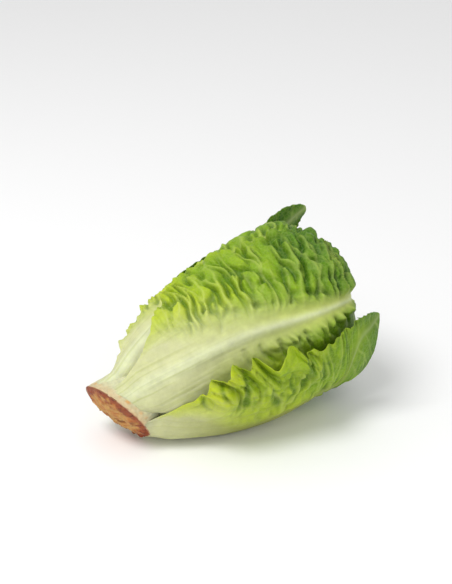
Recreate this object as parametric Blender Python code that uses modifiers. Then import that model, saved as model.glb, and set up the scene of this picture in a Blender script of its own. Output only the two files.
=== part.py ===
"""A head of romaine lettuce lying on its side: a stem with its cut face, and the leaves nested around it.

The head has coordinates of its own: t, a share of the way from the leaf bases to the closed tip, the angle
round the axis, where 0 is the underside, 90 degrees the front (-Y) and 180 degrees the top, and the depth
under the outside in millimetres. Leaves are laid down from outside to inside, each one under all that were
laid before it.
"""

import math

import bmesh
import bpy
import numpy as np
from mathutils import Matrix, Vector

MM = 0.001

# The outside and the heart line of the head at places from the leaf bases to the tip.
# Each row: s and r of the outside, s and r of the heart, with s along the axis and r out from it, in mm.
OUTLINE = np.array(
    [
        (7.0, 20.6, 58.0, 4.0),
        (24.0, 31.0, 64.0, 5.5),
        (46.0, 41.5, 73.0, 7.0),
        (73.0, 47.5, 88.0, 8.0),
        (100.0, 49.0, 100.0, 8.0),
        (121.0, 48.2, 107.0, 7.5),
        (134.0, 44.5, 113.0, 6.5),
        (141.5, 35.0, 119.0, 5.0),
        (145.5, 20.0, 123.0, 3.2),
        (147.0, 0.0, 127.0, 0.0),
    ]
)
AXIS_TILT = math.radians(16)  # the tips lie higher than the cut end
AXIS_START = (-70.61, -0.22, 19.8)  # where s = 0 lies, with the origin under the middle of the head

STEM_RADIUS = 19.6
STEM_TOP = 6.2  # s where the stem ends and the core starts that the leaves grow from
CORE = [(6.2, 16.4), (30.0, 8.4), (52.0, 1.6)]  # s and r of the core, inside the leaf bases
CUT_NORMAL = Vector((-0.806, -0.220, -0.540))  # the knife cut isn't square to the axis
CUT_AT = -2.0  # s where the cut crosses the axis

LEAF_COUNT = 22
GOLDEN_ANGLE = 137.5
FIRST_ANGLE = 37.0
BLADE = 0.9  # blade thickness
RIB = 2.6  # extra thickness of the midrib at its base
LAYER_GAP = 1.4  # under an outer leaf
HEART_GAP = 4.2  # under the innermost leaf, where leaves are loose
# Leaves up to each count are made with so many faces along and across.
SEGMENTS = [(5, 15, 14), (14, 12, 11), (LEAF_COUNT, 11, 10)]

# Half width along a leaf, as shares of its length and of its greatest half width.
LEAF_SHAPE = np.array(
    [
        (0.00, 0.27),
        (0.10, 0.29),
        (0.20, 0.40),
        (0.30, 0.68),
        (0.40, 0.92),
        (0.55, 1.00),
        (0.70, 0.97),
        (0.85, 0.86),
        (1.00, 0.64),
    ]
)
TIP_ROUNDING = 0.16  # share of the leaf's length that its rounded end takes
TIP_POWER = 2.4

# Leaves that lie on the outside. At places t along, line, low and high give the angles in degrees of the
# midrib and the two margins. end: s and r where the leaf leaves the outside, past loose. flat: the t from
# which the end is a flat sheet, over how much of t, and the angle it faces. lift: a corner that stands out
# at the end, given as the t where it starts, over how much of t, its angle, its reach round and its height.
OUTER_LEAVES = {
    0: {
        "line": [(0, 38), (0.3, 40), (0.5, 42), (0.58, 44), (0.63, 46), (0.672, 55), (0.72, 75), (0.77, 86),
                 (0.87, 91), (1, 92)],
        "low": [(0, 4), (0.2, -10), (0.4, -24), (0.54, -20), (0.61, 4), (0.67, 36), (0.72, 45), (0.8, 51),
                (0.86, 61), (0.93, 74), (1, 82)],
        "high": [(0, 88), (0.09, 96), (0.17, 105), (0.29, 114), (0.38, 111), (0.47, 104), (0.57, 96),
                 (0.67, 98), (0.76, 101), (0.87, 102), (1, 98)],
        "tip": 0.98,
        "loose": 0.58,
        "end": [(116.0, 51.0), (126.0, 52.0), (136.0, 50.5), (145.0, 46.5)],
    },
    1: {
        "line": [(0, -88), (0.5, -98), (0.65, -101), (0.77, -104), (0.88, -112), (1, -117)],
        "low": [(0, -118), (0.2, -126), (0.45, -134), (0.62, -126), (0.74, -113), (0.82, -122), (0.88, -126),
                (0.95, -126), (1, -122)],
        "high": [(0, -58), (0.2, -45), (0.5, -50), (0.7, -66), (0.85, -88), (1, -108)],
        "tip": 0.97,
        "loose": 0.62,
        "end": [(122.0, 50.5), (142.0, 51.0), (168.0, 51.0)],
        "flat": (0.6, 0.16, -95.0),
    },
    2: {
        "line": [(0, 139), (0.15, 133), (0.29, 130), (0.41, 126), (0.53, 120), (0.67, 114), (0.8, 110),
                 (1, 104)],
        "low": [(0, 100), (0.1, 82), (0.2, 68), (0.4, 56), (0.6, 50), (0.8, 50), (1, 46)],
        "high": [(0, 166), (0.1, 171), (0.16, 178), (0.22, 188), (0.29, 199), (0.35, 206), (0.42, 200),
                 (0.5, 190), (0.57, 184), (0.65, 181), (0.73, 182), (0.8, 188), (1, 190)],
        "tip": 0.875,
        "lift": (0.75, 0.07, 150.0, 38.0, 4.5),
    },
    3: {"angle": -15.0, "tip": 0.84},
    4: {
        "line": [(0, 186), (1, 183)],
        "low": [(0, 150), (0.4, 128), (1, 134)],
        "high": [(0, 208), (0.08, 214), (0.15, 222), (0.3, 227), (0.45, 234), (1, 236)],
        "tip": 0.84,
    },
}
# Each row: the leaves before this one have so many segments along them and across them.
SEGMENTS = [(5, 15, 14), (14, 12, 11), (22, 11, 10)]
OUTER_COLOUR = (0.27, 0.44, 0.06)
HEART_COLOUR = (0.70, 0.68, 0.25)
STEM_COLOUR = (0.62, 0.50, 0.32)

# The room that leaves take up is found on a grid over the head, of so many rows along and columns round.
ROWS = 81
COLUMNS = 180


def hermite(knots, values, at):
    """A smooth curve through values at knots, read at the places in at."""
    slopes = np.gradient(values, knots, axis=0)
    at = np.clip(at, knots[0], knots[-1])
    n = np.clip(np.searchsorted(knots, at, side="right") - 1, 0, len(knots) - 2)
    h = knots[n + 1] - knots[n]
    x = (at - knots[n]) / h
    return (
        values[n] * (1 + 2 * x) * (1 - x) ** 2
        + values[n + 1] * x * x * (3 - 2 * x)
        + slopes[n] * h * x * (1 - x) ** 2
        - slopes[n + 1] * h * x * x * (1 - x)
    )


STEPS = np.hypot(*np.diff(OUTLINE[:, :2], axis=0).T)
LENGTH = STEPS.sum()  # along the outside, from the leaf bases to the tip
KNOTS = np.concatenate([[0.0], np.cumsum(STEPS)]) / LENGTH


def outline(t):
    """s and r of the outside and s and r of the heart, at the share t of the way along."""
    return np.array([hermite(KNOTS, OUTLINE[:, k], t) for k in range(4)])


def slope(t):
    """The unit tangent of the outside, as s and r."""
    step = outline(np.minimum(t + 0.005, 1.0)) - outline(np.minimum(t + 0.005, 1.0) - 0.01)
    return step[:2] / np.hypot(step[0], step[1])


def room(t):
    """The distance from the outside to the heart, square to the outside."""
    s, r, heart_s, heart_r = outline(t)
    ds, dr = slope(t)
    return np.abs((heart_s - s) * dr - (heart_r - r) * ds)


def leaf_facts(n):
    """The sizes of leaf n, counted from the outside."""
    share = n / (LEAF_COUNT - 1)
    width = 56.0 * (1 - 0.55 * share)
    facts = {
        "angle": FIRST_ANGLE - GOLDEN_ANGLE * n,
        "left": width,
        "right": width,
        "tip": 0.87 + 0.03 * math.sin(2.1 * n),
        "rib": RIB * (1 - 0.6 * share),
        "gap": LAYER_GAP + (HEART_GAP - LAYER_GAP) * share**2,
        "deep": 0.7 * share,
        "loose": 1.0,
        "end": [],
    }
    facts.update(OUTER_LEAVES.get(n, {}))
    return facts


def along_table(table, t):
    """An angle in radians, read from a table of places along and degrees."""
    table = np.array(table, dtype=float)
    return np.radians(hermite(table[:, 0], table[:, 1], t))


def middle(facts, t):
    """The angle of the midrib at t, in radians."""
    if "line" in facts:
        return along_table(facts["line"], t)
    return np.radians(facts["angle"] + 0.0 * t)


def smooth(x):
    """An even rise from 0 at 0 to 1 at 1."""
    x = np.clip(x, 0.0, 1.0)
    return x * x * (3 - 2 * x)


def leaf_radius(facts, t):
    """The radius that turns a leaf's width into an angle."""
    _, r, _, heart_r = outline(np.minimum(t, facts["loose"]))
    least = 0.5 * OUTLINE[:, 1].max()
    return np.maximum(r, least) * (1 - facts["deep"]) + heart_r * facts["deep"]


def half_angle(facts, side, along, t):
    """How far a leaf reaches from its midrib on one side, in radians."""
    table = {"left": "low", "right": "high"}[side]
    if table in facts:
        return np.abs(along_table(facts[table], t) - middle(facts, t))
    share = hermite(LEAF_SHAPE[:, 0], LEAF_SHAPE[:, 1], along)
    return facts[side] * share / leaf_radius(facts, t)


def thickness(facts, t, turn):
    """A leaf's thickness at an angle turn from its midrib."""
    across = turn * leaf_radius(facts, t)
    along = np.clip(t / facts["tip"], 0, 1)
    return BLADE + facts["rib"] * (1 - along) ** 0.8 * np.exp(-((across / (11 - 5 * along)) ** 2))


def covered(facts, t, angle):
    """Where on the head the leaf lies."""
    turn = (angle - middle(facts, t) + math.pi) % (2 * math.pi) - math.pi
    side_end = facts["tip"] * (1 - TIP_ROUNDING)
    along = np.clip(t / side_end, 0, 1)
    half = np.where(turn < 0, half_angle(facts, "left", along, t), half_angle(facts, "right", along, t))
    beyond = np.clip((t / facts["tip"] - 1 + TIP_ROUNDING) / TIP_ROUNDING, 0, 1)
    half = half * (1 - beyond) ** (1 / TIP_POWER)
    return (np.abs(turn) < half + 0.03) & (t < facts["tip"] + 0.01), turn


def spread(field, rows, columns):
    """The greatest value within so many cells of each, then smoothed over the same distance."""
    for step, pick in ((rows, 0), (columns, 1)):
        parts = []
        for shift in range(-step, step + 1):
            parts.append(shifted(field, shift, pick))
        field = np.max(parts, axis=0)
    for step, pick in ((rows, 0), (columns, 1)):
        weights = step + 1 - np.abs(np.arange(-step, step + 1))
        parts = [w * shifted(field, k, pick) for w, k in zip(weights, range(-step, step + 1))]
        field = np.sum(parts, axis=0) / weights.sum()
    return field


def shifted(field, by, way):
    """The field moved by so many cells: round the head, or along it with the end rows repeated."""
    if way == 1:
        return np.roll(field, by, axis=1)
    rows = np.clip(np.arange(ROWS) - by, 0, ROWS - 1)
    return field[rows]


def read(field, t, angle):
    """The field's value between its cells."""
    row = np.clip(t, 0, 1) * (ROWS - 1)
    column = (angle / (2 * math.pi) % 1) * COLUMNS
    i = np.minimum(row.astype(int), ROWS - 2)
    j = column.astype(int)
    x = row - i
    y = column - j
    j, k = j % COLUMNS, (j + 1) % COLUMNS
    near = field[i, j] * (1 - y) + field[i, k] * y
    far = field[i + 1, j] * (1 - y) + field[i + 1, k] * y
    return near * (1 - x) + far * x


def lay_leaves():
    """The depth field of each leaf, from the outermost in."""
    t, angle = np.meshgrid(np.linspace(0, 1, ROWS), np.arange(COLUMNS) * 2 * math.pi / COLUMNS, indexing="ij")
    floor = np.zeros((ROWS, COLUMNS))
    fields = []
    for n in range(LEAF_COUNT):
        facts = leaf_facts(n)
        depth = spread(floor, 3, 6)
        fields.append(depth)
        on, turn = covered(facts, t, angle)
        under = depth + thickness(facts, t, turn) + facts["gap"]
        floor = np.where(on, np.maximum(floor, under), floor)
    return fields


def leaf_path(facts, t):
    """s and r of a leaf, and of the heart below it. Its end may leave the head's outside."""
    bend = np.minimum(t, facts["loose"])
    s, r, heart_s, heart_r = outline(bend)
    if facts["end"]:
        points = np.array([outline(facts["loose"] - 0.1)[:2], outline(facts["loose"])[:2]] + facts["end"])
        steps = np.hypot(*np.diff(points, axis=0).T)
        knots = np.concatenate([[0.0], np.cumsum(steps)])
        knots = facts["loose"] + (knots - knots[1]) / (knots[-1] - knots[1]) * (facts["tip"] - facts["loose"])
        past = t > facts["loose"]
        end_s = hermite(knots, points[:, 0], t)
        end_r = hermite(knots, points[:, 1], t)
        s, heart_s = np.where(past, end_s, s), np.where(past, heart_s + end_s - s, heart_s)
        r, heart_r = np.where(past, end_r, r), np.where(past, heart_r + end_r - r, heart_r)
    return s, r, heart_s, heart_r, room(bend)


def place(facts, t, angle, depth):
    """A point of the head, in millimetres, over the surface that it lies on."""
    s, r, heart_s, heart_r, space = leaf_path(facts, t)
    share = depth / space
    axis = np.array([math.cos(AXIS_TILT), 0, math.sin(AXIS_TILT)])
    down = np.array([math.sin(AXIS_TILT), 0, -math.cos(AXIS_TILT)])
    front = np.array([0, -1, 0])
    out = np.cos(angle)[..., None] * down + np.sin(angle)[..., None] * front
    base = np.array(AXIS_START)
    if "lift" in facts:
        start, over, at, fan, most = facts["lift"]
        r = r + most * smooth((t - start) / over) * smooth(1 - np.abs(np.degrees(angle) - at) / fan)
    if "flat" in facts:
        start, over, faces = facts["flat"]
        to = math.radians(faces)
        ahead = math.cos(to) * down + math.sin(to) * front
        aside = (angle - to)[..., None] * (-math.sin(to) * down + math.cos(to) * front)
        level = smooth((t - start) / over)[..., None]
        out = out * (1 - level) + (ahead + aside) * level
    skin = base + s[..., None] * axis + r[..., None] * out
    heart = base + heart_s[..., None] * axis + heart_r[..., None] * out
    point = skin + (heart - skin) * share[..., None]
    point[..., 2] += np.maximum(0, -skin[..., 2]) * (1 - share)
    return point


def leaf_points(n, field, u, v):
    """The outer face of leaf n at shares u of its length and v of its half width, and its thickness there."""
    facts = leaf_facts(n)
    t = facts["tip"] * u * (1 - TIP_ROUNDING * np.abs(v) ** TIP_POWER)
    half = np.where(v < 0, half_angle(facts, "left", u, t), half_angle(facts, "right", u, t))
    angle = middle(facts, t) + v * half
    return place(facts, t, angle, read(field, t, angle)), thickness(facts, t, v * half)


def material(name, colour, roughness):
    made = bpy.data.materials.new(name)
    made.use_nodes = True
    shader = made.node_tree.nodes["Principled BSDF"]
    shader.inputs["Base Color"].default_value = (*colour, 1)
    shader.inputs["Roughness"].default_value = roughness
    made.diffuse_color = (*colour, 1)
    return made


def add(name, mesh, collection, finish):
    made = bpy.data.objects.new(name, mesh)
    made.data.materials.append(finish)
    collection.objects.link(made)
    return made


def leaf_finish(n):
    """Outer leaves are green, and the heart is pale and yellow."""
    share = n / (LEAF_COUNT - 1)
    colour = [a + (b - a) * share for a, b in zip(OUTER_COLOUR, HEART_COLOUR)]
    return material(f"leaf_{n:02d}", colour, 0.5)


def leaf(n, field, collection):
    """One leaf: a grid bent into its outer face, with Solidify for its thickness."""
    name = f"leaf_{n:02d}"
    along, across = next(row[1:] for row in SEGMENTS if n < row[0])
    shape = bmesh.new()
    bmesh.ops.create_grid(shape, x_segments=along, y_segments=across, size=1)
    grid = np.array([v.co for v in shape.verts])
    points, thick = leaf_points(n, field, (grid[:, 0] + 1) / 2, grid[:, 1])
    for vertex, point in zip(shape.verts, points):
        vertex.co = Vector(point) * MM
    mesh = bpy.data.meshes.new(name)
    shape.to_mesh(mesh)
    shape.free()
    mesh.shade_smooth()
    made = add(name, mesh, collection, leaf_finish(n))
    weights = made.vertex_groups.new(name="thickness")
    for index, share in enumerate(thick / thick.max()):
        weights.add([index], float(share), "REPLACE")
    solid = made.modifiers.new("thickness", "SOLIDIFY")
    solid.thickness = thick.max() * MM
    solid.offset = -1
    solid.vertex_group = weights.name
    return made


def head_matrix():
    """From the head's own axis, along +Z, to the way that it lies."""
    axis = Vector((math.cos(AXIS_TILT), 0, math.sin(AXIS_TILT)))
    turn = Vector((0, 0, 1)).rotation_difference(axis).to_matrix().to_4x4()
    return Matrix.Translation(Vector(AXIS_START) * MM) @ turn


def turned(name, profile, collection, finish):
    """A solid turned from r and s points that start and end on the axis."""
    mesh = bpy.data.meshes.new(name)
    edges = [(k, k + 1) for k in range(len(profile) - 1)]
    mesh.from_pydata([(r * MM, 0, s * MM) for r, s in profile], edges, [])
    made = add(name, mesh, collection, finish)
    screw = made.modifiers.new("turn", "SCREW")
    screw.steps = 28
    screw.render_steps = 28
    screw.use_merge_vertices = True
    screw.merge_threshold = 0.00001
    made.matrix_world = head_matrix()
    return made


def stem(collection, cutters, finish):
    """The stem and the core inside the leaf bases, with the knife cut across the stem."""
    lowest = -25.0
    profile = [(0, CORE[-1][0] + 1.5)] + [(r, s) for s, r in reversed(CORE)]
    profile += [(STEM_RADIUS - 0.6, STEM_TOP), (STEM_RADIUS, STEM_TOP - 0.6)]
    profile += [(STEM_RADIUS, lowest), (0, lowest)]
    made = turned("stem_core", profile, collection, finish)
    made.data.shade_smooth()
    bpy.ops.mesh.primitive_cube_add(size=1)
    knife = bpy.context.object
    knife.name = "knife"
    for old in list(knife.users_collection):
        old.objects.unlink(knife)
    cutters.objects.link(knife)
    knife.hide_render = True
    knife.display_type = "WIRE"
    normal = CUT_NORMAL.normalized()
    on_axis = head_matrix() @ Vector((0, 0, CUT_AT * MM))
    deep = 80 * MM
    turn = Vector((0, 0, 1)).rotation_difference(normal).to_matrix().to_4x4()
    size = Matrix.Diagonal((0.12, 0.12, deep, 1))
    knife.matrix_world = Matrix.Translation(on_axis + normal * deep / 2) @ turn @ size
    cut = made.modifiers.new("knife cut", "BOOLEAN")
    cut.operation = "DIFFERENCE"
    cut.object = knife
    return made


def main():
    for old in list(bpy.data.objects):
        bpy.data.objects.remove(old)
    head = bpy.data.collections.new("romaine_lettuce_head")
    cutters = bpy.data.collections.new("cutters")
    bpy.context.scene.collection.children.link(head)
    bpy.context.scene.collection.children.link(cutters)
    stem(head, cutters, material("stem", STEM_COLOUR, 0.6))
    for n, field in enumerate(lay_leaves()):
        leaf(n, field, head)


main()
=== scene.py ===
"""The looks of a head of romaine lettuce: puckered, veined leaves round the solids, and its cut stem.

The head has coordinates of its own: t, a share of the way from the leaf bases to the closed tip, the angle
round the axis, where 0 is the underside, 90 degrees the front (-Y) and 180 degrees the top, and the depth
under the outside. A leaf has u, the share of its own length, v, from -1 to 1 between its margins, a,
millimetres across from its midrib, and l, millimetres along. Everything is worked out in millimetres and made
in metres.
"""

import math

import bpy
import numpy as np
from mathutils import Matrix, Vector


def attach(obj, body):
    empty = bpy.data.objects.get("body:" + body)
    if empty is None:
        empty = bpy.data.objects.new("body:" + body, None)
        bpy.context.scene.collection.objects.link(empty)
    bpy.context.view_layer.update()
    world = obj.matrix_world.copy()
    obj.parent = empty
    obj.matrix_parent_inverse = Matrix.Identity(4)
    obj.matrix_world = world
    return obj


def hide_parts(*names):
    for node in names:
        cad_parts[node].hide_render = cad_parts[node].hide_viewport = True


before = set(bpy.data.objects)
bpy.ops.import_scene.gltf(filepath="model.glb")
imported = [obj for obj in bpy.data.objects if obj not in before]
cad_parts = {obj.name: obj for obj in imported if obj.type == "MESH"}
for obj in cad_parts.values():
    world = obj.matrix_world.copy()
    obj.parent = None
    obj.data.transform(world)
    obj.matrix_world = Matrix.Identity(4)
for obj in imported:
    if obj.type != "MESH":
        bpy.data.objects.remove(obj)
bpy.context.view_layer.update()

MM = 0.001
TAU = 2 * math.pi

# ---------------------------------------------------------------- camera

TARGET = Vector((-2.51, -0.22, 73.8)) * MM
CAMERA_AZIMUTH = math.radians(-31.9)
CAMERA_ELEVATION = math.radians(26.0)
CAMERA_DISTANCE = 759 * MM


def towards(azimuth, elevation):
    """The direction from the head to a viewer there. Azimuth 0 looks along +Y."""
    flat = math.cos(elevation)
    return Vector((math.sin(azimuth) * flat, -math.cos(azimuth) * flat, math.sin(elevation)))


def make_camera():
    """The camera that the picture is taken with."""
    data = bpy.data.cameras.new("camera")
    data.lens = 85.0
    data.sensor_width = 36.0
    data.clip_end = 20.0
    camera = bpy.data.objects.new("camera", data)
    back = towards(CAMERA_AZIMUTH, CAMERA_ELEVATION)
    camera.location = TARGET + back * CAMERA_DISTANCE
    camera.rotation_euler = back.to_track_quat("Z", "Y").to_euler()
    bpy.context.scene.collection.objects.link(camera)
    bpy.context.scene.camera = camera


# ---------------------------------------------------------------- the head, laid out as the solids are

# The outside and the heart line: s and r of the outside, then s and r of the heart, where s is along the axis
# and r is out from it.
OUTLINE = np.array(
    [
        (7.0, 20.6, 58.0, 4.0),
        (24.0, 31.0, 64.0, 5.5),
        (46.0, 41.5, 73.0, 7.0),
        (73.0, 47.5, 88.0, 8.0),
        (100.0, 49.0, 100.0, 8.0),
        (121.0, 48.2, 107.0, 7.5),
        (134.0, 44.5, 113.0, 6.5),
        (141.5, 35.0, 119.0, 5.0),
        (145.5, 20.0, 123.0, 3.2),
        (147.0, 0.0, 127.0, 0.0),
    ]
)
AXIS_TILT = math.radians(16)
AXIS_START = np.array([-70.61, -0.22, 19.8])
AXIS = np.array([math.cos(AXIS_TILT), 0, math.sin(AXIS_TILT)])
DOWN = np.array([math.sin(AXIS_TILT), 0, -math.cos(AXIS_TILT)])
FRONT = np.array([0.0, -1.0, 0.0])
STEM_RADIUS = 19.6
CUT_NORMAL = np.array([-0.806, -0.220, -0.540]) / math.sqrt(0.806**2 + 0.220**2 + 0.540**2)
CUT_AT = -2.0
NECK = 5.0  # from the cut to the leaf bases

LEAF_COUNT = 22
GOLDEN_ANGLE = 137.5
FIRST_ANGLE = 37.0
HALF_WIDTH = 56.0  # of the outermost leaves
BLADE = 0.8  # thickness away from the midrib
RIB = 2.6  # further thickness at the midrib
LAYER_GAP = 1.5  # between the outer leaves, 0.1 more than their solids have
HEART_GAP = 4.2  # between the innermost leaves
# At each share of a leaf's length, its half width as a share of the greatest.
LEAF_SHAPE = np.array(
    [
        (0.00, 0.27),
        (0.10, 0.29),
        (0.20, 0.40),
        (0.30, 0.68),
        (0.40, 0.92),
        (0.55, 1.00),
        (0.70, 0.97),
        (0.85, 0.86),
        (1.00, 0.64),
    ]
)
TIP_ROUNDING = 0.16
TIP_POWER = 2.4
# Leaves that lie on the outside. At places t along, line, low and high give the angles in degrees of the
# midrib and the two margins. tip: the t where the leaf ends. end: s and r where the leaf leaves the outside,
# past the t called loose. flat: the t from which the end is a flat sheet, over how much of t, and the angle
# it faces. lift: a corner that stands out at the end, given as the t where it starts, over how much of t,
# its angle, its reach round and its height. By the base, the low margin of leaf 0 reaches further round
# than its solid's.
OUTER_LEAVES = {
    0: {
        "line": [(0, 38), (0.3, 40), (0.5, 42), (0.58, 44), (0.63, 46), (0.672, 55), (0.72, 75), (0.77, 86),
                 (0.87, 91), (1, 92)],
        "low": [(0, -12), (0.2, -14), (0.4, -24), (0.54, -20), (0.61, 4), (0.67, 36), (0.72, 45), (0.8, 51),
                (0.86, 61), (0.93, 74), (1, 82)],
        "high": [(0, 88), (0.09, 96), (0.17, 105), (0.29, 114), (0.38, 111), (0.47, 104), (0.57, 96),
                 (0.67, 98), (0.76, 101), (0.87, 102), (1, 98)],
        "tip": 0.98,
        "loose": 0.58,
        "end": [(116.0, 51.0), (126.0, 52.0), (136.0, 50.5), (145.0, 46.5)],
    },
    1: {
        "line": [(0, -88), (0.5, -98), (0.65, -101), (0.77, -104), (0.88, -112), (1, -117)],
        "low": [(0, -118), (0.2, -126), (0.45, -134), (0.62, -126), (0.74, -113), (0.82, -122), (0.88, -126),
                (0.95, -126), (1, -122)],
        "high": [(0, -58), (0.2, -45), (0.5, -50), (0.7, -66), (0.85, -88), (1, -108)],
        "tip": 0.97,
        "loose": 0.62,
        "end": [(122.0, 50.5), (142.0, 51.0), (168.0, 51.0)],
        "flat": (0.6, 0.16, -95.0),
    },
    2: {
        "line": [(0, 139), (0.15, 133), (0.29, 130), (0.41, 126), (0.53, 120), (0.67, 114), (0.8, 110),
                 (1, 104)],
        "low": [(0, 100), (0.1, 82), (0.2, 68), (0.4, 56), (0.6, 50), (0.8, 50), (1, 46)],
        "high": [(0, 166), (0.1, 171), (0.16, 178), (0.22, 188), (0.29, 199), (0.35, 206), (0.42, 200),
                 (0.5, 190), (0.57, 184), (0.65, 181), (0.73, 182), (0.8, 188), (1, 190)],
        "tip": 0.875,
        "lift": (0.75, 0.07, 150.0, 38.0, 4.5),
    },
    3: {"angle": -15.0, "tip": 0.84},
    4: {
        "line": [(0, 186), (1, 183)],
        "low": [(0, 150), (0.4, 128), (1, 134)],
        "high": [(0, 208), (0.08, 214), (0.15, 222), (0.3, 227), (0.45, 234), (1, 236)],
        "tip": 0.84,
    },
}
# The grid over t and the angle that the depth of each leaf is worked out on.
ROWS = 121
COLUMNS = 240


def hermite(knots, values, at):
    """A smooth curve through values at knots, read at the places in at."""
    slopes = np.gradient(values, knots, axis=0)
    at = np.clip(at, knots[0], knots[-1])
    n = np.clip(np.searchsorted(knots, at, side="right") - 1, 0, len(knots) - 2)
    h = knots[n + 1] - knots[n]
    x = (at - knots[n]) / h
    return (
        values[n] * (1 + 2 * x) * (1 - x) ** 2
        + values[n + 1] * x * x * (3 - 2 * x)
        + slopes[n] * h * x * (1 - x) ** 2
        - slopes[n + 1] * h * x * x * (1 - x)
    )


STEPS = np.hypot(*np.diff(OUTLINE[:, :2], axis=0).T)
LENGTH = STEPS.sum()
KNOTS = np.concatenate([[0.0], np.cumsum(STEPS)]) / LENGTH


def smooth(x):
    """An even step from 0 to 1 as x goes from 0 to 1."""
    x = np.clip(x, 0.0, 1.0)
    return x * x * (3 - 2 * x)


def outline(t):
    """s and r of the outside and of the heart at t. Below 0 it runs down the stem."""
    s, r, heart_s, heart_r = [hermite(KNOTS, OUTLINE[:, k], t) for k in range(4)]
    below = np.minimum(t, 0) * LENGTH
    flare = 0.45 * below + 0.02 * below**2
    return np.array([s + below, np.maximum(r + flare, STEM_RADIUS + 0.2), heart_s, heart_r])


def slope(t):
    """The direction of the outside at t, as ds and dr."""
    after = np.minimum(t + 0.005, 1.0)
    step = outline(after) - outline(after - 0.01)
    return step[:2] / np.hypot(step[0], step[1])


def room(t):
    """The distance from the outside to the heart, square to the outside."""
    s, r, heart_s, heart_r = outline(t)
    ds, dr = slope(np.maximum(t, 0.0))
    return np.abs((heart_s - s) * dr - (heart_r - r) * ds)


def leaf_facts(n):
    """Where leaf n lies and how big it is. Leaves follow the golden angle unless they are tabled."""
    share = n / (LEAF_COUNT - 1)
    width = HALF_WIDTH * (1 - 0.55 * share)
    facts = {
        "angle": FIRST_ANGLE - GOLDEN_ANGLE * n,
        "left": width,
        "right": width,
        "tip": 0.87 + 0.03 * math.sin(2.1 * n),
        "rib": RIB * (1 - 0.6 * share),
        "gap": LAYER_GAP + (HEART_GAP - LAYER_GAP) * share**2,
        "deep": 0.7 * share,
        "loose": 1.0,
        "end": [],
    }
    facts.update(OUTER_LEAVES.get(n, {}))
    return facts


def along_table(table, t):
    """The angle in radians that a table of t and degrees gives at t."""
    table = np.array(table, dtype=float)
    return np.radians(hermite(table[:, 0], table[:, 1], t))


def middle(facts, t):
    """The angle of the midrib at t."""
    if "line" in facts:
        return along_table(facts["line"], t)
    return np.full(np.shape(t), np.radians(facts["angle"]))


def leaf_radius(facts, t):
    """The radius that turns a leaf's width into an angle. Leaves nearer the heart turn on a smaller one."""
    _, r, _, heart_r = outline(np.clip(t, 0.0, facts["loose"]))
    least = 0.5 * OUTLINE[:, 1].max()
    return np.maximum(r, least) * (1 - facts["deep"]) + heart_r * facts["deep"]


def half_angle(facts, side, along, t):
    """The angle from the midrib to one margin, where along is the share of the leaf's length."""
    table = {"left": "low", "right": "high"}[side]
    if table in facts:
        return np.abs(along_table(facts[table], t) - middle(facts, t))
    share = hermite(LEAF_SHAPE[:, 0], LEAF_SHAPE[:, 1], np.clip(along, 0, 1))
    return facts[side] * share / leaf_radius(facts, t)


def thickness(facts, t, turn):
    """The thickness of a leaf at t, so far round from its midrib."""
    across = turn * leaf_radius(facts, t)
    along = np.clip(t / facts["tip"], 0, 1)
    return BLADE + facts["rib"] * (1 - along) ** 0.8 * np.exp(-((across / (11 - 5 * along)) ** 2))


def covered(facts, t, angle):
    """Whether a leaf lies there, and how far round from its midrib that is."""
    turn = (angle - middle(facts, t) + math.pi) % TAU - math.pi
    side_end = facts["tip"] * (1 - TIP_ROUNDING)
    along = np.clip(t / side_end, 0, 1)
    half = np.where(turn < 0, half_angle(facts, "left", along, t), half_angle(facts, "right", along, t))
    beyond = np.clip((t / facts["tip"] - 1 + TIP_ROUNDING) / TIP_ROUNDING, 0, 1)
    half = half * (1 - beyond) ** (1 / TIP_POWER)
    return (np.abs(turn) < half + 0.03) & (t < facts["tip"] + 0.01), turn


def shifted(field, by, way):
    """A field moved along the head (way 0), where its ends repeat, or round it (way 1)."""
    if way == 1:
        return np.roll(field, by, axis=1)
    rows = np.clip(np.arange(ROWS) - by, 0, ROWS - 1)
    return field[rows]


def blurred(field, rows, columns):
    """A field averaged over so many rows and columns to each side, with less weight further off."""
    for step, way in ((rows, 0), (columns, 1)):
        weights = step + 1 - np.abs(np.arange(-step, step + 1))
        parts = [w * shifted(field, k, way) for w, k in zip(weights, range(-step, step + 1))]
        field = np.sum(parts, axis=0) / weights.sum()
    return field


def spread(field, rows, columns):
    """The greatest value within so many cells of each, then smoothed over the same distance."""
    for step, way in ((rows, 0), (columns, 1)):
        field = np.max([shifted(field, k, way) for k in range(-step, step + 1)], axis=0)
    return blurred(field, rows, columns)


def read(field, t, angle):
    """The value of a field between its cells."""
    row = np.clip(t, 0, 1) * (ROWS - 1)
    column = (angle / TAU % 1) * COLUMNS
    i = np.minimum(row.astype(int), ROWS - 2)
    j = column.astype(int)
    x = row - i
    y = column - j
    j, k = j % COLUMNS, (j + 1) % COLUMNS
    near = field[i, j] * (1 - y) + field[i, k] * y
    far = field[i + 1, j] * (1 - y) + field[i + 1, k] * y
    return near * (1 - x) + far * x


def lay_leaves():
    """For each leaf from the outermost in: how deep it lies, and how much it is covered."""
    t, angle = np.meshgrid(np.linspace(0, 1, ROWS), np.arange(COLUMNS) * TAU / COLUMNS, indexing="ij")
    floor = np.zeros((ROWS, COLUMNS))
    hidden = np.zeros((ROWS, COLUMNS))
    found = []
    for n in range(LEAF_COUNT):
        facts = leaf_facts(n)
        depth = spread(floor, 4, 7)
        found.append((depth, blurred(hidden, 3, 5)))
        on, turn = covered(facts, t, angle)
        under = depth + thickness(facts, t, turn) + facts["gap"]
        floor = np.where(on, np.maximum(floor, under), floor)
        hidden = np.where(on, 1.0, hidden)
    return found


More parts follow.
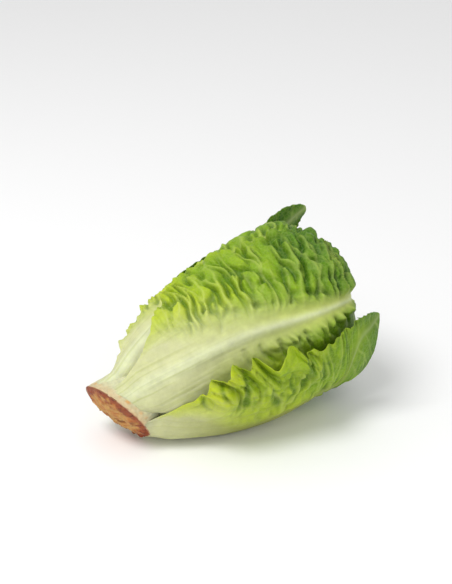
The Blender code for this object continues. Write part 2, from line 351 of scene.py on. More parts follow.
def leaf_path(facts, t):
    """s and r of a leaf and of the heart below it, and the room between. Its end may leave the outside."""
    bend = np.minimum(t, facts["loose"])
    s, r, heart_s, heart_r = outline(bend)
    if facts["end"]:
        points = np.array([outline(facts["loose"] - 0.1)[:2], outline(facts["loose"])[:2]] + facts["end"])
        steps = np.hypot(*np.diff(points, axis=0).T)
        knots = np.concatenate([[0.0], np.cumsum(steps)])
        knots = facts["loose"] + (knots - knots[1]) / (knots[-1] - knots[1]) * (facts["tip"] - facts["loose"])
        past = t > facts["loose"]
        end_s = hermite(knots, points[:, 0], t)
        end_r = hermite(knots, points[:, 1], t)
        s, heart_s = np.where(past, end_s, s), np.where(past, heart_s + end_s - s, heart_s)
        r, heart_r = np.where(past, end_r, r), np.where(past, heart_r + end_r - r, heart_r)
    return s, r, heart_s, heart_r, room(bend)


def out_from_axis(angle):
    """The direction out from the axis at an angle."""
    return np.cos(angle)[..., None] * DOWN + np.sin(angle)[..., None] * FRONT


def place(facts, t, angle, depth):
    """The point of a leaf at t and angle, so deep under the outside. The head rests flat on the floor."""
    s, r, heart_s, heart_r, space = leaf_path(facts, t)
    share = depth / space
    out = out_from_axis(angle)
    if "lift" in facts:
        start, over, at, fan, most = facts["lift"]
        r = r + most * smooth((t - start) / over) * smooth(1 - np.abs(np.degrees(angle) - at) / fan)
    if "flat" in facts:
        start, over, faces = facts["flat"]
        to = np.radians(faces)
        across = -np.sin(to) * DOWN + np.cos(to) * FRONT
        aside = (angle - to)[..., None] * across
        share_flat = smooth((t - start) / over)[..., None]
        out = out * (1 - share_flat) + (out_from_axis(np.array(to)) + aside) * share_flat
    skin = AXIS_START + s[..., None] * AXIS + r[..., None] * out
    heart = AXIS_START + heart_s[..., None] * AXIS + heart_r[..., None] * out
    point = skin + (heart - skin) * share[..., None]
    point[..., 2] += np.maximum(0, -skin[..., 2]) * (1 - share)
    return point


# ---------------------------------------------------------------- noise


def hashed(i, j, seed):
    """A fixed number from 0 to 1 for each cell."""
    h = (i.astype(np.int64) * 374761393 + j.astype(np.int64) * 668265263 + seed * 2147483647) & 0xFFFFFFFF
    h = ((h ^ (h >> 13)) * 1274126177) & 0xFFFFFFFF
    h = ((h ^ (h >> 16)) * 2246822519) & 0xFFFFFFFF
    return ((h ^ (h >> 15)) & 0xFFFFFF) / float(0xFFFFFF)


def noise(x, y, seed):
    """Smooth gradient noise, about -1 to 1, with one bump to a unit."""
    x, y = np.broadcast_arrays(x, y)
    i, j = np.floor(x), np.floor(y)
    fx, fy = x - i, y - j
    u = fx * fx * fx * (fx * (fx * 6 - 15) + 10)
    v = fy * fy * fy * (fy * (fy * 6 - 15) + 10)
    corner = []
    for di in (0, 1):
        for dj in (0, 1):
            turn = TAU * hashed(i + di, j + dj, seed)
            corner.append(np.cos(turn) * (fx - di) + np.sin(turn) * (fy - dj))
    low = corner[0] + (corner[2] - corner[0]) * u
    high = corner[1] + (corner[3] - corner[1]) * u
    return 1.5 * (low + (high - low) * v)


def layered(x, y, seed, octaves=3):
    """Noise at several scales, each half the size and half the height of the one before."""
    total = 0.0
    for k in range(octaves):
        total = total + noise(x * 2**k, y * 2**k, seed + 17 * k) / 2**k
    return total / 1.5


def cells(x, y, seed):
    """How far each point is inside its cell, among scattered cells of one to a unit square: 0 on a border."""
    x, y = np.broadcast_arrays(x, y)
    i, j = np.floor(x), np.floor(y)
    first = np.full(x.shape, 9.0)
    second = np.full(x.shape, 9.0)
    for di in (-1, 0, 1):
        for dj in (-1, 0, 1):
            px = i + di + 0.15 + 0.7 * hashed(i + di, j + dj, seed)
            py = j + dj + 0.15 + 0.7 * hashed(i + di, j + dj, seed + 7)
            far = np.hypot(x - px, y - py)
            second = np.minimum(second, np.maximum(far, first))
            first = np.minimum(first, far)
    return second - first

# ---------------------------------------------------------------- the looks of each leaf

# What the surface of a leaf is like, in millimetres where it is a distance.
# pucker: height of its relief. ribbed: how much its veins and creases count in that.
# vein: distance between its side veins. frill: how far its margins stand up. inner: the share of the half
# width where they begin to. rise: the power they rise with. wave: length of their waves. sheets: its high
# margin lies in folded sheets. curly: its margins are crisp all over. lobes: how far its margins wander, as
# a share of the half width. neck: from the cut to where it starts. sink: how far it lies under its solid.
# green: the colour of its blade, from 0 yellow to 1 deep. greener: how much that deepens to the tip.
# pale: how wide the pale of its rib is at the base. keel: how strongly the ridge of its rib shows its pale
# colour and painted highlight.
# green_end: its rib turns green towards the tip. seen: how fine its grid is.
LOOKS = {
    0: {"pucker": 1.7, "ribbed": 0.25, "vein": 13.0, "frill": 9.5, "inner": 0.45, "rise": 0.75, "wave": 19.0,
        "sheets": True, "lobes": 0.17, "neck": 1.0, "green": 0.22, "greener": 1.1, "pale": 24.0, "keel": 0.25,
        "green_end": True, "seen": 1.1},
    1: {"pucker": 1.0, "vein": 11.0, "frill": 1.0, "green": 1.0, "pale": 9.0, "keel": 0.4, "green_end": True,
        "seen": 1.0},
    2: {"pucker": 3.1, "vein": 8.6, "frill": 1.4, "sink": 1.4, "green": 0.24, "greener": 1.25, "pale": 30.0,
        "seen": 1.2},
    3: {"pucker": 1.8, "vein": 10.0, "frill": 2.5, "green": 0.6, "pale": 18.0, "seen": 0.9},
    4: {"pucker": 2.0, "vein": 9.0, "frill": 4.6, "inner": 0.55, "wave": 12.0, "curly": True, "green": 0.0,
        "greener": 1.6, "pale": 20.0, "seen": 1.0},
}

# Deep folds of their own: from t and angle to t and angle, and how deep each is.
FOLDS = {
    0: [
        (0.32, 112, 0.29, 86, 3.0),
        (0.37, 90, 0.40, 70, 2.6),
        (0.51, 96, 0.47, 74, 2.6),
        (0.25, 110, 0.24, 98, 2.0),
        (0.18, 102, 0.18, 90, 1.6),
        (0.44, 92, 0.44, 79, 1.8),
    ],
    2: [
        (0.37, 168, 0.33, 143, 1.8),
        (0.69, 164, 0.60, 128, 3.0),
        (0.37, 150, 0.31, 138, 1.6),
        (0.77, 154, 0.82, 142, 2.2),
        (0.81, 142, 0.74, 123, 2.4),
        (0.28, 164, 0.24, 149, 1.5),
        (0.39, 116, 0.42, 100, 2.2),
        (0.45, 113, 0.47, 96, 2.4),
        (0.54, 110, 0.56, 90, 2.6),
        (0.34, 119, 0.35, 105, 1.6),
        (0.60, 160, 0.54, 133, 1.6),
        (0.48, 160, 0.45, 140, 1.6),
    ],
}
FOLD_HALF = 1.3  # half width of a fold
LEAF_SEED = 31  # leaf n takes its noise from the seeds after this many times n
GRID_ALONG = 190
GRID_ACROSS = 170


def looks_of(n):
    """The looks of leaf n. Leaves that aren't tabled are paler and plainer towards the heart."""
    share = n / (LEAF_COUNT - 1)
    looks = {
        "pucker": 1.6,
        "ribbed": 1.0,
        "vein": 9.0,
        "frill": 1.5,
        "inner": 0.66,
        "rise": 1.2,
        "wave": 15.0,
        "sheets": False,
        "curly": False,
        "lobes": 0.05,
        "neck": NECK,
        "sink": 0.0,
        "green": 0.5 - 0.5 * share,
        "greener": 0.72,
        "pale": 14.0 * (1 - 0.5 * share),
        "keel": 1.0,
        "green_end": False,
        "seen": 0.5 if n < 12 else 0.35,
    }
    looks.update(LOOKS.get(n, {}))
    return looks


# ---------------------------------------------------------------- the shape of a leaf

VEIN_HALF = 0.75  # half width of a side vein
VEIN_LEAN = 0.50  # how far back along the leaf a side vein starts, for each millimetre out
VEIN_BEND = 0.006  # how much it then turns outwards
CREASE_AT = 2.1  # from a side vein to the crease beside it
BUBBLE = (8.5, 12.0)  # size of the bubbles, along and across
BLISTER = (2.6, 2.9)  # size of the small ones on them


def leaf_grid(n, facts, looks, field, hidden):
    """The plain outer face of leaf n and everything that its relief and colours are worked out from."""
    rows = int(GRID_ALONG * looks["seen"])
    columns = int(GRID_ACROSS * looks["seen"])
    u, v = np.meshgrid(np.linspace(0, 1, rows), np.linspace(-1, 1, columns), indexing="ij")
    side_end = facts["tip"] * (1 - TIP_ROUNDING * np.abs(v) ** TIP_POWER)
    low = 0.0
    if n in OUTER_LEAVES:
        # the outer leaves start a little above the slanted cut
        angle_at_base = middle(facts, 0.0) + v * half_angle(facts, "left", 0.0, 0.0)
        cut = CUT_AT - STEM_RADIUS * (out_from_axis(angle_at_base) @ CUT_NORMAL) / (AXIS @ CUT_NORMAL)
        low = (cut + looks["neck"] - OUTLINE[0, 0]) / LENGTH
    t = low + (side_end - low) * u
    l = t * LENGTH
    half = np.where(v < 0, half_angle(facts, "left", u, t), half_angle(facts, "right", u, t))
    radius = leaf_radius(facts, t)
    # the margin wanders, in lobes and in small teeth
    shore = smooth((u - 0.12) / 0.2)
    lobes = looks["lobes"] * noise(l / 11.0, np.sign(v) * 5.0, LEAF_SEED * n + 1)
    teeth = 0.8 * layered(l / 3.4, np.sign(v) * 3.0, LEAF_SEED * n + 2, 2) / (half * radius + 1)
    half = half * (1 + shore * (lobes + teeth) * smooth(np.abs(v) * 3 - 1.6))
    angle = middle(facts, t) + v * half
    depth = read(field, t, angle) + looks["sink"] * smooth((u - 0.3) / 0.2)
    return {
        "u": u,
        "v": v,
        "t": t,
        "l": l,
        "a": v * half * radius,
        "seed": LEAF_SEED * n,
        "angle": angle,
        "point": place(facts, t, angle, depth),
        "bare": 1 - read(hidden, t, angle),
        "thick": thickness(facts, t, v * half),
    }


def normals(point):
    """The direction out of a grid of points."""
    along = np.gradient(point, axis=0)
    across = np.gradient(point, axis=1)
    n = np.cross(along, across)
    return n / np.maximum(np.linalg.norm(n, axis=-1, keepdims=True), 1e-9)


def folds(table, g):
    """How deep the folds of a table go at each point."""
    deep = np.zeros(g["t"].shape)
    around = 0.9 * OUTLINE[:, 1].max()
    x, y = g["l"], g["angle"] * around
    sway = 0.9 * noise(x / 6.0, y / 6.0, g["seed"] + 51)
    for t0, angle0, t1, angle1, most in table:
        x0, y0 = t0 * LENGTH, math.radians(angle0) * around
        dx, dy = t1 * LENGTH - x0, math.radians(angle1) * around - y0
        share = np.clip(((x - x0) * dx + (y - y0) * dy) / (dx * dx + dy * dy), 0, 1)
        bow = 1.2 * np.sin(np.pi * share)
        off = np.hypot(x - x0 - share * dx + bow + sway, y - y0 - share * dy)
        taper = np.sin(np.pi * np.clip(0.12 + 0.8 * share, 0, 1)) ** 0.5
        deep = np.maximum(deep, most * taper * np.exp(-((off / FOLD_HALF) ** 2)))
    return deep


def vein_lines(g, apart):
    """How far each point is from the nearest side vein or its fork, and which vein that is."""
    l, a, seed = g["l"], g["a"], g["seed"]
    reach = np.abs(a)
    side = np.sign(a) * 7.0
    wander = 3.4 * noise(l / 19.0, a / 21.0, seed + 3) + 1.3 * noise(l / 7.0, a / 9.0, seed + 13)
    w = l - VEIN_LEAN * reach + VEIN_BEND * reach**2 + wander
    phase = w / apart + np.where(a < 0, 0.37, 0.0) + 0.22 * np.sin(w / 7.0 + side)
    k = np.round(phase)
    off = (phase - k) * apart
    fork = hashed(k, side, seed + 4) * 22.0 + 8.0
    spread_out = np.maximum(reach - fork, 0) * (0.10 + 0.16 * hashed(k, side, seed + 5))
    return np.minimum(np.abs(off - spread_out), np.abs(off + spread_out)), k


def margin_relief(g, looks):
    """How far the margins stand up in waves, and a mask of the valleys between those, which is used for
    painted shade.
    """
    u, v, l, a, seed = g["u"], g["v"], g["l"], g["a"], g["seed"]
    start, over = (0.10, 0.08) if looks["curly"] else (0.14, 0.16)
    margin = smooth((np.abs(v) - looks["inner"]) / (1 - looks["inner"])) * smooth((u - start) / over)
    slant = 0.25 * np.sin(a / 7.0) if looks["sheets"] else 0.0
    beat = l / looks["wave"] + slant + 0.9 * noise(l / 26.0, a / 30.0 + 3 * np.sign(v), seed + 9)
    crest = np.abs(np.sin(np.pi * beat))
    wave = crest**0.7 + 0.40 * np.abs(np.sin(np.pi * 2.3 * beat + 1.0 + a / 12.0)) ** 0.7
    if looks["sheets"]:
        margin = margin * np.where(v > 0, 1.0, 0.15)
    if looks["curly"]:
        wave = 0.55 + 0.9 * layered(l / 7.0, a / 6.0, seed + 61)
    return looks["frill"] * margin ** looks["rise"] * wave, np.exp(-((crest / 0.26) ** 2)) * margin


def relief(n, g, looks):
    """The height of the surface over its plain shape, and the masks that colour it."""
    u, v, l, a, seed, bare = g["u"], g["v"], g["l"], g["a"], g["seed"], g["bare"]
    reach = np.abs(a)
    blade = smooth((u - 0.15) / 0.22)
    rib_half = 2.0 + looks["pale"] * np.clip(1 - u, 0, 1) ** 1.5
    rib = np.exp(-((reach / rib_half) ** 2.4))
    keel_half = 1.3 + 3.2 * (1 - u) ** 1.4
    keel = np.exp(-((reach / keel_half) ** 2))

    # side veins, with creases beside them here and there
    off, k = vein_lines(g, looks["vein"])
    strong = 0.55 + 0.45 * hashed(k, np.sign(a), seed + 21)
    far = 1 - 0.55 * smooth((np.abs(v) - 0.6) / 0.4)
    past_rib = smooth((reach - 0.25 * rib_half) / (0.5 * rib_half))
    vein = np.exp(-((off / VEIN_HALF) ** 2)) * past_rib * far * blade * strong
    fade_in = smooth((reach - 0.35 * rib_half) / (0.65 * rib_half + 3.0))
    here = smooth(0.36 + 1.5 * noise(k * 1.7, reach / 19.0, seed + 4))
    crease = np.exp(-((off - CREASE_AT) ** 2)) * here * fade_in * blade

    # bubbles of two sizes, and pits where the borders of the larger ones meet
    lumps = layered(l / 8.0, a / 11.0, seed + 5, 2)
    bent_l = l + 2.0 * noise(l / 9.0, a / 9.0, seed + 6)
    bent_a = a + 2.0 * noise(l / 9.0 + 9.0, a / 9.0, seed + 7)
    bubble = smooth(cells(bent_l / BUBBLE[0], bent_a / BUBBLE[1], seed + 6) / 0.5)
    blister = smooth(cells(bent_l / BLISTER[0], bent_a / BLISTER[1], seed + 15) / 0.5)
    deep_here = smooth(1.5 * noise(l / 12.0, a / 14.0, seed + 14) + 0.25)
    pit = (1 - bubble) * deep_here * fade_in * blade
    calm, flattened = 1.0, 1.0
    if looks["sheets"]:
        # borders between sheets on the high side, and a smooth end
        sheet = smooth(cells(l / 9.0 + 0.5 * lumps, a / 12.0, seed + 41) / 0.35)
        pit = np.clip(0.4 * pit + 0.5 * (1 - sheet) * blade * smooth((v - 0.35) / 0.2), 0, 1)
        calm = 1 - 0.8 * smooth((u - 0.6) / 0.1)
        flattened = 1 - 0.85 * smooth((u - 0.56) / 0.12)
    puckered = 0.45 * bubble + 0.42 * lumps + 0.07 * blister + 0.8
    puckered = puckered + looks["ribbed"] * (0.34 * vein - 1.2 * crease) - 0.70 * pit
    height = calm * looks["pucker"] * blade * fade_in * bare * np.maximum(puckered, 0.0)

    # the midrib and its fine grooves
    height += (0.7 * rib * (1 - u) + 1.1 * keel * (1 - 0.7 * u)) * (0.4 + 0.6 * bare)
    grooves = noise(l / 55.0, a / 1.9, seed + 8) + 0.6 * noise(l / 40.0, a / 0.9, seed + 18)
    height += 0.15 * grooves * (1 - smooth((u - 0.15) / 0.5)) * bare

    stand, valley_shade = margin_relief(g, looks)
    height += stand * (0.15 + 0.85 * bare) * flattened
    if looks["sheets"]:
        # near the base its margins lie tight on the head
        height -= 1.3 * smooth((np.abs(v) - 0.6) / 0.4) * (1 - smooth((u - 0.16) / 0.1))
    folded = folds(FOLDS.get(n, []), g)
    height -= folded
    height *= smooth(u / 0.07)
    # the crease and valley masks carry painted shade for creases, pits, folds and the margin's valleys
    masks = {
        "rib": rib,
        "keel": keel,
        "vein": vein,
        "crease": np.clip(crease + 0.8 * pit + 0.5 * folded, 0, 1) * (0.4 + 0.6 * bare),
        "bubble": bubble,
        "edge": smooth((np.abs(v) - 0.88) / 0.12) * blade,
        "grooves": grooves,
        "valley_shade": valley_shade,
        "lumps": lumps,
    }
    return height, masks


# ---------------------------------------------------------------- colours


def mixed(first, second, share):
    """From the first colour at 0 to the second at 1."""
    share = np.clip(share, 0, 1)[..., None]
    return np.asarray(first) * (1 - share) + np.asarray(second) * share


def linear(r, g, b):
    """A colour given as it looks on a screen, 0 to 255, as light."""
    c = np.array([r, g, b]) / 255.0
    return np.where(c <= 0.04045, c / 12.92, ((c + 0.055) / 1.055) ** 2.4)


CREAM = linear(202, 202, 162)
# the ridge of the midrib: partly its own pale colour, partly a painted highlight
KEEL_PALE_AND_HIGHLIGHT = linear(212, 217, 178)
YELLOW = linear(188, 204, 34)
MIDDLE = linear(136, 170, 20)
GREEN = linear(92, 134, 18)
DEEP = linear(50, 94, 10)
# painted shade: the dark green put into creases, pits, folds and the valleys between the margin's waves
CREASE_SHADE = linear(96, 132, 6)
VEIN = linear(176, 192, 100)
# painted shade: an olive band down one side of the midrib of the leaf with sheets
RIB_SHADE = linear(138, 142, 62)
GROOVE = linear(168, 174, 104)
CUT_TAN = linear(204, 158, 84)
CUT_ORANGE = linear(176, 90, 28)
CUT_FLUSH = linear(176, 98, 58)
CUT_RED = linear(138, 44, 10)
CUT_DARK = linear(84, 34, 12)
NECK_CREAM = linear(208, 184, 140)
NECK_PINK = linear(214, 160, 120)
NECK_SCAR = linear(206, 140, 50)


def leaf_colour(g, looks, masks):
    """The painted tint: yellow to deep green up the blade, pale over the base and the midrib, with painted
    shade in creases, pits, folds, valleys and beside the midrib, and a pale ridge with a painted highlight.
    """
    u, v, l, a = g["u"], g["v"], g["l"], g["a"]
    tone = looks["green"] + looks["greener"] * (u - 0.42) + 0.16 * layered(l / 34.0, a / 30.0, g["seed"] + 11)
    tone = np.clip(tone, 0, 1)
    colour = mixed(YELLOW, MIDDLE, tone * 2.4)
    colour = mixed(colour, GREEN, tone * 2.0 - 0.7)
    colour = mixed(colour, DEEP, tone * 2.0 - 1.35)
    colour = mixed(colour, YELLOW, 0.28 * masks["bubble"] * smooth(0.5 + masks["lumps"]) * (1 - tone))
    # painted shade: creases, the pits between bubbles and the folds are darkened
    colour = mixed(colour, mixed(CREASE_SHADE, DEEP, 1.3 * tone), 0.90 * masks["crease"])
    # painted shade in the valleys between the margin's waves
    if looks["sheets"]:
        colour = mixed(colour, CREASE_SHADE, 0.80 * masks["valley_shade"] * (1 - smooth((u - 0.55) / 0.1)))
    colour = mixed(colour, VEIN, 0.62 * masks["vein"] * (1 - 0.3 * tone))
    colour = mixed(colour, YELLOW, 0.35 * masks["edge"] * (1 - tone))
    base = 1 - smooth((u - 0.06) / 0.26)
    if looks["sheets"]:
        # a green hem runs down beside the base
        hem = smooth((v - 0.90) / 0.06) * (1 - smooth((u - 0.24) / 0.05)) * smooth((u - 0.03) / 0.03)
        base = base * (1 - 0.9 * hem)
    base = base * (1 - 0.8 * smooth((np.abs(v) - 0.62) / 0.3) * smooth((u - 0.05) / 0.06))
    pale = np.clip(masks["rib"] ** 0.8 + base, 0, 1)
    if looks["green_end"]:
        pale = pale * (1 - 0.75 * smooth((u - 0.5) / 0.25))
    cream = mixed(CREAM, YELLOW, 0.04 + 0.56 * smooth(u * 1.7 - 0.3))
    if looks["sheets"]:
        # painted shade: an olive band down one side of the midrib
        cream = mixed(cream, RIB_SHADE, 0.85 * smooth(1.5 - np.abs(a - 9.0) / 15.0) * smooth(u / 0.3))
    colour = mixed(colour, cream, 0.90 * pale)
    # the ridge of the midrib: its own pale colour with a painted highlight on it
    ridge = mixed(KEEL_PALE_AND_HIGHLIGHT, MIDDLE, smooth(u * 1.6 - 0.8) * 0.35)
    colour = mixed(colour, ridge, 0.75 * masks["keel"] * looks["keel"])
    line = smooth(masks["grooves"] * 1.2) * (1 - smooth((u - 0.2) / 0.4))
    return mixed(colour, GROOVE, 0.38 * line)


# ---------------------------------------------------------------- materials


def new_material(name):
    """A material, its node tree and its shader."""
    made = bpy.data.materials.new(name)
    made.use_nodes = True
    tree = made.node_tree
    return made, tree, tree.nodes["Principled BSDF"]


def set_inputs(made, values):
    """Set a node's own inputs by name."""
    for key, value in values.items():
        made.inputs[key].default_value = value


def node(tree, kind, **settings):
    """A node. Settings that name an input set that, and the others are properties."""
    made = tree.nodes.new(kind)
    for key, value in settings.items():
        if key in made.inputs:
            made.inputs[key].default_value = value
        else:
            setattr(made, key, value)
    return made


def computed(tree, operation, *terms):
    """A Math node's result. Each term is an output of another node or a number."""
    made = node(tree, "ShaderNodeMath", operation=operation)
    for socket, term in zip(made.inputs, terms):
        if isinstance(term, float):
            socket.default_value = term
        else:
            tree.links.new(term, socket)
    return made.outputs[0]


def ranged(tree, value, low, high, start=0.0, stop=1.0):
    """A value from start to stop, brought to low to high."""
    made = node(tree, "ShaderNodeMapRange")
    set_inputs(made, {"From Min": start, "From Max": stop, "To Min": low, "To Max": high})
    tree.links.new(value, made.inputs["Value"])
    return made.outputs["Result"]


def grain_of(tree, scale, detail, roughness):
    """Fine noise over the piece."""
    made = node(tree, "ShaderNodeTexNoise", Scale=scale, Detail=detail, Roughness=roughness)
    place_at = node(tree, "ShaderNodeTexCoord")
    tree.links.new(place_at.outputs["Object"], made.inputs["Vector"])
    return made.outputs["Fac"]


def speckled_tint(tree, grain, low, high):
    """The painted tint, darker and lighter with the grain."""
    tint = node(tree, "ShaderNodeAttribute", attribute_name="tint")
    made = node(tree, "ShaderNodeVectorMath", operation="SCALE")
    tree.links.new(tint.outputs["Color"], made.inputs[0])
    tree.links.new(ranged(tree, grain, low, high, 0.3, 0.7), made.inputs["Scale"])
    return made.outputs["Vector"]


def finish_surface(tree, shader, colour, roughness, height, strength, distance):
    """Colour, roughness and fine bumps, linked to the shader."""
    bump = node(tree, "ShaderNodeBump", Strength=strength, Distance=distance)
    tree.links.new(height, bump.inputs["Height"])
    tree.links.new(colour, shader.inputs["Base Color"])
    tree.links.new(roughness, shader.inputs["Roughness"])
    tree.links.new(bump.outputs["Normal"], shader.inputs["Normal"])


def leaf_material():
    """Leaf tissue: the painted tint, a fine net of veins in colour and height, and a soft sheen."""
    made, tree, shader = new_material("leaf_tissue")
    mottle = grain_of(tree, 160.0, 4.0, 0.6)
    place_at = node(tree, "ShaderNodeTexCoord")
    net = node(tree, "ShaderNodeTexVoronoi", feature="DISTANCE_TO_EDGE", Scale=420.0)
    tree.links.new(place_at.outputs["Object"], net.inputs["Vector"])
    line = ranged(tree, net.outputs["Distance"], 1.0, 0.0, 0.0, 0.16)
    # the net fades out on the midrib
    rib = node(tree, "ShaderNodeAttribute", attribute_name="rib")
    off_rib = computed(tree, "SUBTRACT", 1.0, rib.outputs["Fac"])
    fine = computed(tree, "MULTIPLY", line, off_rib)
    veined = node(tree, "ShaderNodeMix", data_type="RGBA", blend_type="MIX")
    veined.inputs["B"].default_value = (*VEIN, 1)
    tree.links.new(computed(tree, "MULTIPLY", fine, 0.16), veined.inputs["Factor"])
    tree.links.new(speckled_tint(tree, mottle, 0.90, 1.10), veined.inputs["A"])
    raised = computed(tree, "MULTIPLY_ADD", fine, 0.5, mottle)
    roughness = ranged(tree, mottle, 0.42, 0.62)
    finish_surface(tree, shader, veined.outputs["Result"], roughness, raised, 0.35, 0.0006)
    set_inputs(
        shader,
        {
            "Subsurface Weight": 0.30,
            "Subsurface Radius": (0.9, 1.0, 0.25),
            "Subsurface Scale": 0.003,
            "Specular IOR Level": 0.25,
        },
    )
    return made


def stem_material():
    """The cut stem: a browned, fibrous cut face and a pale neck, both from the painted tint."""
    made, tree, shader = new_material("stem_tissue")
    grain = grain_of(tree, 380.0, 5.0, 0.65)
    tint = speckled_tint(tree, grain, 0.82, 1.16)
    finish_surface(tree, shader, tint, ranged(tree, grain, 0.45, 0.75), grain, 0.6, 0.0008)
    set_inputs(
        shader,
        {
            "Subsurface Weight": 0.15,
            "Subsurface Radius": (1.0, 0.6, 0.3),
            "Subsurface Scale": 0.002,
        },
    )
    return made


# ---------------------------------------------------------------- pieces

FLOOR_GAP = 0.25  # the skins stay this far over the floor
WEIGHT_STEPS = 40  # a skin's thickness goes in so many steps


def painted_piece(name, point, faces, colour, finish, **values):
    """A smooth mesh with its tint painted on. Each of values is an attribute of that name."""
    mesh = bpy.data.meshes.new(name)
    mesh.from_pydata((point * MM).reshape(-1, 3), [], faces.reshape(-1, 4).tolist())
    mesh.shade_smooth()
    tint = mesh.attributes.new("tint", "FLOAT_COLOR", "POINT")
    rgba = np.concatenate([colour, np.ones(colour.shape[:2] + (1,))], -1)
    tint.data.foreach_set("color", rgba.astype(np.float32).ravel())
    for key, value in values.items():
        made = mesh.attributes.new(key, "FLOAT", "POINT")
        made.data.foreach_set("value", value.astype(np.float32).ravel())
    mesh.materials.append(finish)
    piece = bpy.data.objects.new(name, mesh)
    bpy.context.scene.collection.objects.link(piece)
    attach(piece, "root")
    return piece


def thicken(piece, thick):
    """Make a skin solid, inwards, with its thickness in millimetres given for each point."""
    most = float(thick.max())
    group = piece.vertex_groups.new(name="thickness")
    steps = np.round(thick.ravel() / most * WEIGHT_STEPS).astype(int)
    for step in range(1, WEIGHT_STEPS + 1):
        members = np.flatnonzero(steps == step)
        if len(members):
            group.add(members.tolist(), step / WEIGHT_STEPS, "REPLACE")
    solid = piece.modifiers.new("thickness", "SOLIDIFY")
    solid.thickness = most * MM
    solid.offset = -1
    solid.vertex_group = group.name


def make_leaf(n, field, hidden, finish):
    """One leaf: its plain face, relief on that, its colours and its thickness."""
    facts = leaf_facts(n)
    looks = looks_of(n)
    g = leaf_grid(n, facts, looks, field, hidden)
    height, masks = relief(n, g, looks)
    plain = g["point"]
    out = normals(plain)
    # what faces the floor is relieved only where there is room
    height = height * np.where(out[..., 2] < -0.5, smooth((plain[..., 2] - 0.5) / 6.0), 1.0)
    point = plain + out * height[..., None]
    point[..., 2] = np.maximum(point[..., 2], FLOOR_GAP)
    index = np.arange(height.size).reshape(height.shape)
    faces = np.stack([index[:-1, :-1], index[1:, :-1], index[1:, 1:], index[:-1, 1:]], -1)
    colour = leaf_colour(g, looks, masks)
    piece = painted_piece(f"leaf_{n:02d}_skin", point, faces, colour, finish, rib=masks["rib"])
    # thinner to the margins and at the base
    thick = g["thick"] * (1 - 0.55 * smooth((np.abs(g["v"]) - 0.6) / 0.4))
    thicken(piece, thick * (0.3 + 0.7 * smooth(g["u"] / 0.06)))
    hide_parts(f"leaf_{n:02d}")


# ---------------------------------------------------------------- the stem

STEM_SIDES = 320
CUT_RINGS = 70
NECK_RINGS = 26
STEM_TOP = 14.0  # how far along the axis the stem shows between the leaves


def cut_ring(rho, angle, lean, wobble):
    """The points and colours of the cut face at a share rho of its radius."""
    out = out_from_axis(angle)
    r = STEM_RADIUS * rho * wobble
    s = CUT_AT - r * lean
    x, y = r * np.cos(angle), r * np.sin(angle)
    fibres = layered(x / 0.9, y / 3.4, 405)
    rough = 0.65 * layered(x / 4.2, y / 4.2, 403, 4) + 0.55 * fibres
    bow = 2.2 * noise(y / 7.0, 0.0, 407) + 0.8 * noise(y / 2.4, 0.0, 408)
    split = np.exp(-(((x - 1.5 - bow) / 0.8) ** 2)) * smooth(1.5 - np.abs(y) / 8.0)
    dome = 3.4 * (1 - rho**2.4) + 0.7 * noise(x / 9.0, y / 9.0, 423)
    torn = smooth((np.cos(angle - 0.5) - 0.3) / 0.5) * smooth(0.3 + 1.5 * noise(angle * 7.0, 0.0, 421))
    lift = (dome - rough - 1.8 * split) * (1 - rho**10) - 0.9 * rho**14
    lift = lift + 2.2 * torn * smooth((rho - 0.8) / 0.2)
    point = AXIS_START + s[:, None] * AXIS + r[:, None] * out + CUT_NORMAL * lift[:, None]
    tone = 0.12 + 0.3 * rho + 0.9 * layered(x / 5.0, y / 8.0, 409) + 0.5 * fibres
    colour = mixed(CUT_TAN, CUT_ORANGE, tone)
    flush = smooth(0.1 + 1.3 * layered(x / 4.0, y / 7.0, 425))
    colour = mixed(colour, CUT_FLUSH, 0.45 * flush)
    rim = smooth((rho - 0.62 + 0.34 * layered(x / 5.0, y / 5.0, 411)) / 0.32)
    colour = mixed(colour, CUT_RED, 0.85 * rim)
    burnt = smooth((0.05 - rough) * 1.5) * (0.35 + 0.5 * rim)
    return point, mixed(colour, CUT_DARK, 0.95 * split + burnt)


def neck_ring(up, angle, lean, wobble):
    """The points and colours of the neck, a share up of the way from the cut to the top."""
    start = CUT_AT - STEM_RADIUS * wobble * lean
    s = start + (STEM_TOP - start) * up**1.3
    bulge = 0.25 * np.sin(np.pi * np.minimum(up * 1.6, 1.0)) + 0.2 * layered(angle * 6.0, s / 3.0, 413)
    r = STEM_RADIUS * wobble + bulge
    point = AXIS_START + s[:, None] * AXIS + r[:, None] * out_from_axis(angle)
    climb = s - start
    colour = mixed(NECK_CREAM, CREAM, climb / 8.0)
    red_to = 1.0 + 0.8 * noise(angle * 9.0, 0.0, 417)
    colour = mixed(colour, CUT_RED, 0.9 * (1 - smooth((climb - 0.2) / red_to)))
    pink = smooth(0.3 + 0.9 * layered(angle * 7.0, s / 2.2, 419))
    colour = mixed(colour, NECK_PINK, 0.35 * pink * (1 - smooth(climb / 5.0)))
    scar = smooth(1.4 - np.abs(climb - NECK + 0.8)) * smooth(0.2 + 1.4 * noise(angle * 5.0, 0.0, 415))
    return point, mixed(colour, NECK_SCAR, 0.75 * scar)


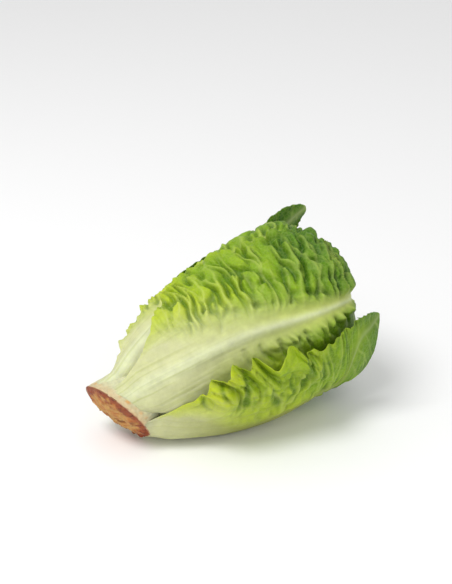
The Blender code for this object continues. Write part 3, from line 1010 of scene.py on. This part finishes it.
def make_stem(finish):
    """The cut face, a rounded rim, the neck above it and a plain end inside the leaves."""
    angle = np.arange(STEM_SIDES) * TAU / STEM_SIDES
    out = out_from_axis(angle)
    lean = (out @ CUT_NORMAL) / (AXIS @ CUT_NORMAL)
    wobble = 1 + 0.02 * noise(np.cos(angle) * 2.0, np.sin(angle) * 2.0, 401)
    wobble = wobble + 0.012 * noise(np.cos(angle) * 9.0, np.sin(angle) * 9.0, 402)
    rings = [cut_ring((k / CUT_RINGS) ** 0.8, angle, lean, wobble) for k in range(CUT_RINGS + 1)]
    rings += [neck_ring(k / NECK_RINGS, angle, lean, wobble) for k in range(1, NECK_RINGS + 1)]
    for share in (0.7, 0.4, 0.0):
        end = AXIS_START + STEM_TOP * AXIS + STEM_RADIUS * share * out
        rings.append((end, np.broadcast_to(CREAM, (STEM_SIDES, 3))))
    point, colour = [np.array(parts) for parts in zip(*rings)]
    near = np.arange(len(rings) * STEM_SIDES).reshape(len(rings), STEM_SIDES)
    far = np.roll(near, -1, axis=1)
    faces = np.stack([near[:-1], far[:-1], far[1:], near[1:]], -1)
    piece = painted_piece("stem_skin", point, faces, colour, finish)
    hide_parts("stem_core")


# ---------------------------------------------------------------- floor and light


def make_stage():
    """A plain pale floor, and even light from all round."""
    made, _, shader = new_material("floor")
    set_inputs(shader, {"Base Color": (0.94, 0.94, 0.94, 1), "Roughness": 0.7, "Specular IOR Level": 0.1})
    bpy.ops.mesh.primitive_plane_add(size=12, location=(0, 0, -0.0003))
    floor = bpy.context.object
    floor.name = "floor"
    floor.data.materials.append(made)
    world = bpy.data.worlds.new("studio")
    world.use_nodes = True
    set_inputs(world.node_tree.nodes["Background"], {"Color": (1, 1, 1, 1), "Strength": 0.70})
    bpy.context.scene.world = world


def area_light(name, azimuth, elevation, distance, size, power):
    """A round soft light, aimed at the head: angles in degrees, distance and size in metres, watts."""
    data = bpy.data.lights.new(name, "AREA")
    data.shape = "DISK"
    data.size = size
    data.energy = power
    light = bpy.data.objects.new(name, data)
    back = towards(math.radians(azimuth), math.radians(elevation))
    light.location = back * distance + Vector((0, 0, 0.05))
    light.rotation_euler = back.to_track_quat("Z", "Y").to_euler()
    bpy.context.scene.collection.objects.link(light)


make_camera()
leaf_finish = leaf_material()
for number, (leaf_field, leaf_hidden) in enumerate(lay_leaves()):
    make_leaf(number, leaf_field, leaf_hidden, leaf_finish)
make_stem(stem_material())
make_stage()
area_light("key", azimuth=-80, elevation=58, distance=1.2, size=0.5, power=8.0)
area_light("fill", azimuth=20, elevation=30, distance=1.5, size=1.2, power=1.2)
bpy.context.scene.view_settings.view_transform = "Standard"
